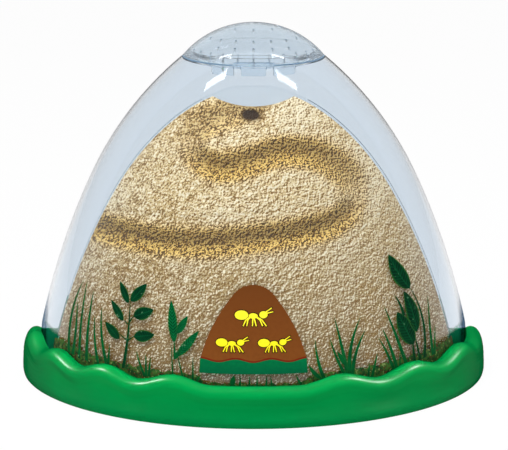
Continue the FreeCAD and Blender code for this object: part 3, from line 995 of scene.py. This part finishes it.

# %% [markdown]
# Sand is many colours seen at once: cream quartz and golden grains. A slow noise drifts
# the whole from cream to tan, and it is duller near the floor. Light and shade on the
# grains are painted: a fine noise less the same noise a little shifted is painted dark
# brown on one side of every bump, a painted shade, and bright on the other, a painted
# highlight, as if lit from the upper left. Under the tunnel's roof and in the nest hole
# the sand gets a painted shade.


# %% The sand's finish
def sand_finish():
    finish = Finish("dry sand", roughness=0.95, ior=1.45, specular_ior_level=0.1)
    inside = finish.add("ShaderNodeAttribute", {"attribute_name": "tunnel"}, {}, "Fac")
    roof = finish.add("ShaderNodeAttribute", {"attribute_name": "roof"}, {}, "Fac")
    low = 1 - finish.part("Z").ramp(0.03, 0.125)
    base = finish.blend(finish.noise(26, 4).ramp(0.36, 0.64), rgb(236, 212, 168), rgb(214, 182, 124))
    base = finish.blend(inside * 0.9, base, rgb(204, 148, 44))
    base = finish.blend(low * 0.95, base, rgb(134, 102, 44))
    # Painted light and shade: each bump is painted dark on one side and bright on the other.
    shift = {0: finish.place(), 1: (0.0005, 0, -0.0006)}
    shifted = finish.add("ShaderNodeVectorMath", {"operation": "ADD"}, shift, "Vector")
    fine = finish.noise(760, 2, 0.6) - finish.noise(760, 2, 0.6, shifted)
    lumps = finish.noise(210, 3, 0.65)
    lump_light_side = lumps - finish.noise(210, 3, 0.65, shifted)
    grain_light_and_shade = fine * (3.0 + inside * 4.0) + lump_light_side * 3.6 - roof * 0.1 - low * 0.06
    dark = finish.blend(inside, rgb(128, 90, 34), rgb(70, 42, 0))
    bright = finish.blend(inside, rgb(250, 236, 206), rgb(246, 208, 120))
    base = finish.blend((0 - grain_light_and_shade).ramp(0.04, 0.42), base, dark)
    base = finish.blend(grain_light_and_shade.ramp(0.12, 0.6), base, bright)
    # Painted shade under the tunnel's roof, and the darkest painted shade in the nest hole.
    base = finish.blend((roof * 0.7).held(), base, rgb(74, 46, 0))
    base = finish.blend(roof.ramp(0.95, 1.3), base, rgb(48, 28, 4))
    return finish.feed(Base_Color=base, Normal=finish.bump(lumps, 0.8, 0.002))


finish_piece(sand_mesh, "sand_heap", sand_finish(), "tray", ("sand_fill",), 60, 2e-6)

# %% [markdown]
# Blades and leaves are printed on the dome. Each is a strip of a small grid. One function
# bends the strip along its middle line and widens it by a profile, then lays every point
# on the dome. The grid keeps its own map, which the finish reads.

# %% Blades and leaves
film_lift = 0.3 * MM
film_thickness = 0.15 * MM


def strip(root, tip, width, bow, profile, across, along):
    piece = grid_piece(across, along)
    root, tip = Vector(root), Vector(tip)
    run = tip - root
    side = Vector((-run.y, run.x)).normalized()
    for index, vertex in enumerate(piece.data.vertices):
        row, column = divmod(index, across + 1)
        t, u = row / along, 1 - 2 * column / across
        middle = root + run * t + side * (bow * 4 * t * (1 - t))
        place = middle + side * (u * width / 2 * profile(t))
        vertex.co = on_dome(place.x * MM, place.y * MM, film_lift)
    return piece


def blade(root, tip, width=1.7, bow=0.0):
    return strip(root, tip, width * 1.1, bow * 0.9, lambda t: (1 - t) ** 0.6, 4, 14)


def leaf(root, tip, width, bow=0.0, teeth=0):
    def profile(t):
        half = math.sin(math.pi * t ** 0.8) ** 0.8
        return half * (0.86 + 0.14 * abs(math.sin(math.pi * teeth * t))) if teeth else half

    return strip(root, tip, width, bow, profile, 6, 40 if teeth else 16)


def thickened(piece, thickness):
    pick(piece)
    solid = piece.modifiers.new("film", "SOLIDIFY")
    solid.thickness = thickness
    solid.offset = 0
    bpy.ops.object.modifier_apply(modifier=solid.name)
    return piece


# %% [markdown]
# The prints are dark greens with a midrib, slanting veins and paler edges. All three are
# read off the strip's own map: its X runs across the leaf and its Y along it.


# %% The prints' finish
def plant_finish(name, dark, light, stripes=12.0, vein_strength=0.12, vein=rgb(20, 132, 84)):
    finish = Finish(name, roughness=0.5, ior=1.45, specular_ior_level=0.04)
    flat = finish.place("UV")
    off_middle = (finish.part("X", flat) - 0.5).maths("ABSOLUTE")
    base = finish.blend(finish.noise(260, 3).ramp(0.35, 0.65), dark, light)
    veins = (finish.part("Y", flat) * stripes - off_middle * 3).maths("FRACT").ramp(0.55, 0.75)
    base = finish.blend(veins * vein_strength, base, vein)
    base = finish.blend(off_middle.ramp(0.38, 0.5) * 0.5, base, rgb(64, 128, 52))
    base = finish.blend(finish.noise(420, 1).ramp(0.7, 0.76) * 0.4, base, rgb(120, 176, 130))
    rib = 1 - off_middle.ramp(0.0, 0.06)
    return finish.feed(Base_Color=finish.blend(rib * 0.45, base, rgb(12, 104, 58)))


leaf_print = plant_finish("dark leaf print", rgb(0, 34, 18), rgb(0, 52, 26))
fern_print = plant_finish("fern print", rgb(0, 88, 46), rgb(2, 106, 54), 13.0, 1.0, rgb(0, 22, 12))
grass_print = plant_finish("grass print", rgb(0, 62, 30), rgb(2, 90, 40))
print("plant prints:", leaf_print.material.name, fern_print.material.name, grass_print.material.name)

# %% [markdown]
# The plants stand in six groups, from left to right. Roots and tips are given in mm, by
# side distance and height, then the width and the bow of each blade or leaf.

# %% The plants
plants = {
    "grass_left": (grass_print, [
        blade((-111.2, 27), (-102.4, 69.8), 1.6, 3.4), blade((-108.7, 27), (-106, 57), 1.8, -0.6),
        blade((-104.5, 26), (-99.8, 70.6), 1.6, 1.2), blade((-99.7, 26), (-95.5, 66.5), 1.9, 1.3),
        blade((-92.2, 26), (-94.7, 52.6), 1.7, 1.2), blade((-86.6, 26), (-90.2, 58.5), 2.0, 2.0),
        blade((-86.2, 27), (-85.2, 39), 1.5),
    ]),
    "sprig_left": (leaf_print, [
        blade((-76.9, 27), (-72.7, 66), 1.7, -0.9),
        leaf((-73.9, 63.9), (-79, 75.4), 4.4), leaf((-72.4, 65.2), (-62.8, 76.4), 5.6),
        leaf((-77, 53.6), (-84.4, 64), 4.6), leaf((-70.6, 57.2), (-58.6, 62.6), 7.0),
        leaf((-79.4, 43), (-88, 51), 5.8), leaf((-70.4, 45.8), (-58, 48.6), 6.6),
        blade((-74.2, 52.2), (-76.6, 54.4), 0.9), blade((-73.6, 53), (-70.2, 58), 0.9),
        blade((-75, 43.4), (-80, 46.4), 0.9), blade((-74.9, 42.4), (-69.6, 46.8), 0.9),
    ]),
    "fern_left": (fern_print, [
        leaf((-46.4, 45.6), (-48.2, 69), 5.8, 0, 12), leaf((-44.8, 50.6), (-38.4, 61), 4.4, 0, 7),
        leaf((-44.6, 38), (-31.8, 53.2), 5.2, 0, 10),
        blade((-47, 25), (-48.2, 45), 0.9), blade((-40.6, 25), (-44.4, 40), 1.1, 0.4),
        blade((-46, 36.4), (-46.4, 47.5), 1.4), leaf((-46.6, 36), (-41.8, 42.6), 2.6),
    ]),
    "grass_middle": (grass_print, [
        blade((-63.8, 24.5), (-68.8, 38), 1.6, 0.5), blade((-63, 24.5), (-63.2, 36.9), 1.5),
        blade((-61.4, 24.5), (-60.4, 35.9), 1.5),
        blade((-35.3, 24.5), (-35.3, 38.4), 1.3), blade((-33, 24.5), (-30.9, 28.6), 1.4),
        leaf((-12.6, 22.5), (-11.4, 28.9), 3.2),
        blade((-7.9, 22.5), (-7.6, 28.9), 1.4), blade((-2.4, 22.5), (-2.2, 28.9), 1.3),
        blade((2, 22.5), (2.2, 28.9), 1.3), blade((7.4, 22.5), (7.8, 28.9), 1.4),
        blade((10.6, 22.5), (10, 28.9), 1.3), blade((28, 23), (24.9, 28.9), 1.6, 0.5),
    ]),
    "grass_right": (grass_print, [
        blade((41.9, 24), (36, 47.9), 2.2, 1.4), leaf((40.2, 25), (32, 34.2), 2.4, 0.8),
        blade((54.3, 25), (44.5, 48.3), 1.9, 0.8), blade((55.4, 25), (47.3, 59.4), 2.3, -0.4),
        blade((56.4, 25), (62.8, 57.8), 2.6, 2.8), blade((57.8, 25), (65.8, 50.4), 2.4, 1.9),
        leaf((54.6, 31), (48.9, 40.4), 2.8),
        blade((67.4, 22.5), (68.1, 31.5), 1.5), blade((69.6, 22.5), (73, 36.1), 1.8),
        blade((83.2, 24), (73.7, 44.6), 1.8, -0.8), blade((85.2, 24), (76, 49.6), 2.1, -0.8),
        blade((86.8, 25), (86.8, 34), 1.2), blade((90.6, 27), (77.2, 61.7), 2.0, -0.4),
        blade((107.9, 27), (104.9, 60.9), 1.5, 0.4), blade((109, 27), (109.4, 43.3), 1.1),
    ]),
    "climber_right": (leaf_print, [
        blade((102.2, 27), (93.4, 68.8), 1.6, -4.2),
        leaf((93.4, 68.2), (80.2, 89.8), 8.4, 0.8), leaf((97.6, 43), (89.6, 67.6), 7.4, -1.0),
        leaf((95.4, 36.6), (85.2, 57), 9.4), blade((96, 27), (94.6, 40), 1.6),
        blade((99.6, 27), (96.6, 40), 1.5),
        blade((89.4, 54), (83.5, 67), 1.6, -0.8),
    ]),
}

for plant_name, (plant_print, strips) in plants.items():
    plant = thickened(joined(strips), film_thickness)
    finish_piece(plant, plant_name + "_print", plant_print, "dome", (plant_name,), 30, 0)

# %% [markdown]
# The moss band is a strip round the foot of the dome. Its top edge is ragged, as printed
# moss is, climbs a little to both sides, and dips under the label.

# %% The moss band
moss_low, moss_middle, moss_climb = 18.5 * MM, 28.0 * MM, 4.2 * MM


def moss_top(share, x):
    top = moss_middle + moss_climb * share ** 2
    top += 0.5 * MM * math.sin(share * 90) + 0.9 * MM * noise.noise(Vector((share * 60, 0.3, 0.7)))
    return top - 4.2 * MM * (1 - eased(abs(x), 27 * MM, 35 * MM))


def moss_piece():
    columns, rows = 400, 10
    piece = grid_piece(columns, rows)
    reach = math.sqrt(foot_radius ** 2 - sand_back ** 2)
    for index, vertex in enumerate(piece.data.vertices):
        row, column = divmod(index, columns + 1)
        share = -1 + 2 * column / columns
        z = moss_low + (moss_top(share, share * reach) - moss_low) * row / rows
        limit = math.sqrt(dome_radius(z) ** 2 - sand_back ** 2)
        vertex.co = on_dome(share * min(reach, limit), z, 0.14 * MM)
    return thickened(piece, 0.12 * MM)


# %% [markdown]
# Its colour is a mottle of dark greens with a few red-brown specks and pale tips. Three
# noises of different size are enough, because the eye never sees one of them alone.


# %% The moss finish
def moss_finish():
    finish = Finish("printed moss", roughness=0.7, ior=1.45, specular_ior_level=0.12)
    base = finish.blend(finish.noise(330, 3, 0.6).ramp(0.4, 0.6), rgb(16, 58, 30), rgb(66, 104, 44))
    base = finish.blend(finish.noise(900, 2).ramp(0.56, 0.64), base, rgb(96, 48, 34))
    return finish.feed(Base_Color=finish.blend(finish.noise(500, 2).ramp(0.6, 0.68), base, rgb(120, 140, 80)))


finish_piece(moss_piece(), "moss_print", moss_finish(), "dome", ("moss_band",), 30, 0)

# %% [markdown]
# The label is a brown mountain over a wavy green strip. Both outlines are worked out flat:
# the mountain's sides and top are arcs through three points each, and the edge that the
# two pieces share is a row of cosine waves.

# %% The label's outlines
label_half_width, label_top, label_bottom = 31.0, 79.7, 29.6
strip_top, strip_wave, strip_waves = 37.0, 0.9, 3
label_lift, label_film = 0.21 * MM, 0.3 * MM


def arc_points(start, middle, end, count):
    """Points on the arc through three places, without the last one."""
    (ax, ay), (bx, by), (cx, cy) = start, middle, end
    a, b, c = ax ** 2 + ay ** 2, bx ** 2 + by ** 2, cx ** 2 + cy ** 2
    d = 2 * (ax * (by - cy) + bx * (cy - ay) + cx * (ay - by))
    x = (a * (by - cy) + b * (cy - ay) + c * (ay - by)) / d
    y = (a * (cx - bx) + b * (ax - cx) + c * (bx - ax)) / d
    radius = math.hypot(ax - x, ay - y)
    first, last = math.atan2(ay - y, ax - x), math.atan2(cy - y, cx - x)
    sweep = (last - first + math.pi) % (2 * math.pi) - math.pi
    return [(x + radius * math.cos(turn), y + radius * math.sin(turn))
            for turn in spaced(first, first + sweep, count)[:-1]]


def strip_edge():
    turns = spaced(0, 2 * math.pi * strip_waves, 48)
    return [(x, strip_top + strip_wave * math.cos(turn))
            for x, turn in zip(spaced(-label_half_width, label_half_width, 48), turns)]


def mountain_outline():
    edge = strip_edge()
    peak_x, peak_z = 12.6, label_top - 6.6
    arch = arc_points(edge[-1], (24.8, 54.2), (peak_x, peak_z), 14)
    arch += arc_points((peak_x, peak_z), (0, label_top), (-peak_x, peak_z), 20)
    arch += arc_points((-peak_x, peak_z), (-24.8, 54.2), edge[0], 14)
    return edge + arch[1:]


def strip_outline():
    half = label_half_width + 0.6
    return strip_edge() + [(half, label_bottom), (-half, label_bottom)]


print("outline points:", len(mountain_outline()), len(strip_outline()))

# %% [markdown]
# A filled outline has no points in its middle and can't bend. So it is cut into narrow
# bands by bisecting it both ways, laid on the dome and given its thickness.


# %% Laying outlines on the dome
def cut_bands(outline, axis, pitch=4.0):
    spots = [point[axis // 2] for point in outline]
    for i in range(1, int((max(spots) - min(spots)) / pitch)):
        at, normal = [0, 0, 0], [0, 0, 0]
        at[axis], normal[axis] = (min(spots) + i * pitch) * MM, 1
        bpy.ops.mesh.select_all(action="SELECT")
        bpy.ops.mesh.bisect(plane_co=at, plane_no=normal)


def laid_on_dome(outlines, lift, thickness):
    """Fills flat outlines of (side distance, height) in mm and bends them onto the dome."""
    pieces = []
    for outline in outlines:
        clean_start()
        bpy.ops.mesh.primitive_circle_add(vertices=len(outline), radius=1, fill_type="NOTHING")
        piece = bpy.context.object
        for vertex, (x, z) in zip(piece.data.vertices, outline):
            vertex.co = (x * MM, 0, z * MM)
        open_all(piece)
        bpy.ops.mesh.edge_face_add()
        for axis in (0, 2):
            cut_bands(outline, axis)
        close_edit()
        for vertex in piece.data.vertices:
            vertex.co = on_dome(vertex.co.x, vertex.co.z, lift)
        pieces.append(piece)
    return thickened(joined(pieces), thickness)


# %% [markdown]
# Printed card has a soft speckle and a slow change of tone. The mountain also has a darker
# hem along the wavy edge, worked out in the shader from the same cosine as the outline.


# %% The label's finishes
def label_finish(name, low, high, low_height, high_height, speck, hem=None):
    finish = Finish(name, roughness=0.5, ior=1.45, specular_ior_level=0.06)
    base = finish.blend(finish.part("Z").ramp(low_height * MM, high_height * MM), low, high)
    base = finish.blend(finish.noise(500, 3).ramp(0.4, 0.7) * 0.35, base, speck)
    if hem:
        along = (finish.part("X") / MM + label_half_width) * (math.pi * strip_waves / label_half_width)
        height = finish.part("Z") / MM - strip_top - along.maths("COSINE") * strip_wave
        base = finish.blend(1 - height.ramp(0.7, 1.3), base, hem)
    return finish.feed(Base_Color=base, Roughness=0.35 + finish.noise(120, 2) * 0.15)


brown_label = label_finish(
    "brown label", rgb(124, 70, 28), rgb(104, 58, 24), 37, 80, rgb(104, 56, 22), rgb(112, 30, 14))
green_label = label_finish("green label", rgb(0, 92, 56), rgb(0, 112, 62), 29, 38, rgb(0, 80, 50))
mountain = laid_on_dome([mountain_outline()], label_lift, label_film)
finish_piece(mountain, "label_mountain", brown_label, "dome", ("badge_mountain",), 30)
wavy_strip = laid_on_dome([strip_outline()], label_lift, label_film)
finish_piece(wavy_strip, "label_strip", green_label, "dome", ("badge_strip",), 30)

# %% [markdown]
# Three plain yellow ants are printed on the mountain. An ant is three ovals with six bent
# legs and two feelers, all of them simple outlines. The same outlines, grown a little and
# printed dark under the yellow ones, give the ants their edge.


# %% The ants on the label
def oval_outline(x, z, length, height, grow):
    return [(x + (length / 2 + grow) * math.cos(a), z + (height / 2 + grow) * math.sin(a))
            for a in spaced(0, 2 * math.pi, 28)[:-1]]


def limb_outline(start, end, width, grow):
    start, end = Vector(start), Vector(end)
    run = (end - start).normalized()
    side = Vector((-run.y, run.x)) * (width / 2 + grow)
    reach = run * grow
    corners = start - side - reach, end - side * 0.7 + reach, end + side * 0.7 + reach, start + side - reach
    return [tuple(corner) for corner in corners]


def ant_outlines(x, z, size, grow=0.0):
    def at(dx, dz):
        return (x + dx * size, z + dz * size)

    ovals = ((-0.34, 0.02, 0.36, 0.24), (-0.03, 0, 0.24, 0.14), (0.24, 0.03, 0.22, 0.18))
    shapes = [oval_outline(*at(dx, dz), length * size, height * size, grow)
              for dx, dz, length, height in ovals]
    for dx, reach in ((-0.1, -0.2), (-0.03, -0.02), (0.04, 0.18)):
        for shift in (0.0, 0.05):
            knee = at(dx + reach * 0.6 + shift, -0.1)
            shapes.append(limb_outline(at(dx, -0.02), knee, 0.045 * size, grow))
            shapes.append(limb_outline(knee, at(dx + reach + 2 * shift, -0.26), 0.04 * size, grow))
    for root, tip in (((0.28, 0.08), (0.46, 0.2)), ((0.3, 0.06), (0.5, 0.1))):
        shapes.append(limb_outline(at(*root), at(*tip), 0.035 * size, grow))
    return shapes


def all_ants(grow):
    ants = ((0.5, 62.5, 22.0), (-12.0, 47.0, 19.0), (12.5, 47.0, 19.0))
    return [shape for ant in ants for shape in ant_outlines(*ant, grow)]


yellow_print = label_finish("yellow print", rgb(250, 236, 30), rgb(255, 246, 60), 40, 70, rgb(236, 208, 20))
dark_print = label_finish("dark print", rgb(40, 20, 14), rgb(40, 20, 14), 40, 70, rgb(30, 14, 10))
dark_ants = laid_on_dome(all_ants(0.5), 0.39 * MM, 0.06 * MM)
finish_piece(dark_ants, "label_ant_edges", dark_print, "dome", (), 30)
yellow_ants = laid_on_dome(all_ants(0.0), 0.46 * MM, 0.08 * MM)
finish_piece(yellow_ants, "label_ants", yellow_print, "dome", ("badge_ants",), 30)

# %% [markdown]
# The set is a pale floor. The lens sees it, straight or through clear plastic, as almost
# white, mirror images see it dimmer, and as a surface it still takes the object's shadow.

# %% Floor
clean_start()
bpy.ops.mesh.primitive_plane_add(size=12, location=(0, 2, 0))
floor_plane = bpy.context.object
floor_plane.name = "floor"
pale_floor = Finish("pale floor", base_color=(0.85, 0.85, 0.86, 1), roughness=0.9)
white = pale_floor.add("ShaderNodeEmission", {}, {"Color": (1, 1, 1, 1), "Strength": 1.0})
floor_seen = pale_floor.ray("Camera") + pale_floor.ray("Glossy") * 0.3 + pale_floor.ray("Transmission")
pale_floor.show(pale_floor.join_shaders(floor_seen.held() * 0.96, pale_floor.body, white))
floor_plane.data.materials.append(pale_floor.material)

# %% [markdown]
# The world is white where the lens or clear plastic looks at it. As a lamp it is only grey,
# so that colours keep their strength, and mirror images see it about as dim.

# %% World
world = bpy.data.worlds.new("studio")
scene.world = world
world.use_nodes = True
sky = Nodes(world.node_tree)
background = world.node_tree.nodes["Background"]
background.inputs["Color"].default_value = (1, 1, 1, 1)
sky_seen = sky.sum_of("MAXIMUM", sky.ray("Camera"), sky.ray("Transmission")) - sky.ray("Glossy") * 0.1
sky.set(background.inputs["Strength"], 0.4 + sky_seen * 0.6)
print("world nodes:", len(world.node_tree.nodes))

# %% [markdown]
# Three soft boxes light the object: a key from the upper left, a weak fill from the right
# and one from above. They are hidden from mirror images, so the plastic shows no panes.


# %% Lamps
def soft_box(name, place, target, size, power):
    lamp = bpy.data.lights.new(name, "AREA")
    lamp.size = size
    lamp.energy = power
    lamp_object = bpy.data.objects.new(name, lamp)
    bpy.context.collection.objects.link(lamp_object)
    lamp_object.location = place
    lamp_object.rotation_euler = (Vector(target) - Vector(place)).to_track_quat("-Z", "Y").to_euler()
    lamp_object.visible_glossy = False
    lamp_object.visible_transmission = False
    return lamp_object


soft_box("key", (-0.5, -0.9, 1.5), (0, 0, 0.08), 0.5, 16)
soft_box("fill", (1.0, -1.2, 0.8), (0, 0, 0.08), 0.7, 3)
soft_box("top", (0, 0.0, 1.5), (0, 0, 0), 0.5, 12)

# %% [markdown]
# A moulded rim shows its gloss as soft smears on its crests. Two lamps make only those:
# they are linked to the tray, and are seen in mirror images but give no diffuse light.

# %% Gloss on the rim
gloss_receivers = bpy.data.collections.new("gloss receivers")
gloss_receivers.objects.link(bpy.data.objects["green_tray"])
gloss_lamps = (("gloss right", (1.1, 0.15, 1.12), 420), ("gloss left", (-1.1, 0.15, 1.1), 320))
for lamp_name, place, power in gloss_lamps:
    gloss = soft_box(lamp_name, place, (0, 0, 0), 0.3, power)
    gloss.visible_glossy = True
    gloss.visible_diffuse = False
    gloss.light_linking.receiver_collection = gloss_receivers

# %% [markdown]
# Two bright cards are seen only as mirror images, and give the dome its pair of streaks.
# Each one is hung where the dome's slope sends the camera's line of sight, so its streak
# falls between the lid and the sand. Their glow fades to both sides.


# %% Mirror cards
def dome_normal(x, z):
    step = 0.5 * MM
    here = on_dome(x, z)
    return (on_dome(x + step, z) - here).cross(on_dome(x, z + step) - here).normalized()


card_finish = Finish("mirror card")
card_side = (card_finish.part("X", card_finish.place("UV")) - 0.5).maths("ABSOLUTE")
card_glow = card_finish.blend(1 - card_side.ramp(0.15, 0.5), (0, 0, 0, 1), (1, 1, 1, 1))
card_finish.show(card_finish.add("ShaderNodeEmission", {}, {"Color": card_glow, "Strength": 16.0}))


def mirror_card(name, x, z, roll, width=0.17, height=0.44, distance=2.0):
    place = on_dome(x, z)
    way = (place - camera.location).normalized().reflect(dome_normal(x, z))
    clean_start()
    bpy.ops.mesh.primitive_plane_add(size=1, location=place + way * distance)
    card = bpy.context.object
    card.name = name
    turned = (-way).to_track_quat("Z", "Y") @ Quaternion((0, 0, 1), math.radians(roll))
    card.rotation_euler = turned.to_euler()
    card.scale = (width, height, 1)
    card.data.materials.append(card_finish.material)
    for ray in ("camera", "diffuse", "transmission", "shadow"):
        setattr(card, "visible_" + ray, False)
    print(name, "at", [round(value, 2) for value in card.location])


mirror_card("card left", -22.8 * MM, 188.7 * MM, 5)
mirror_card("card right", 19.4 * MM, 188.9 * MM, -5)
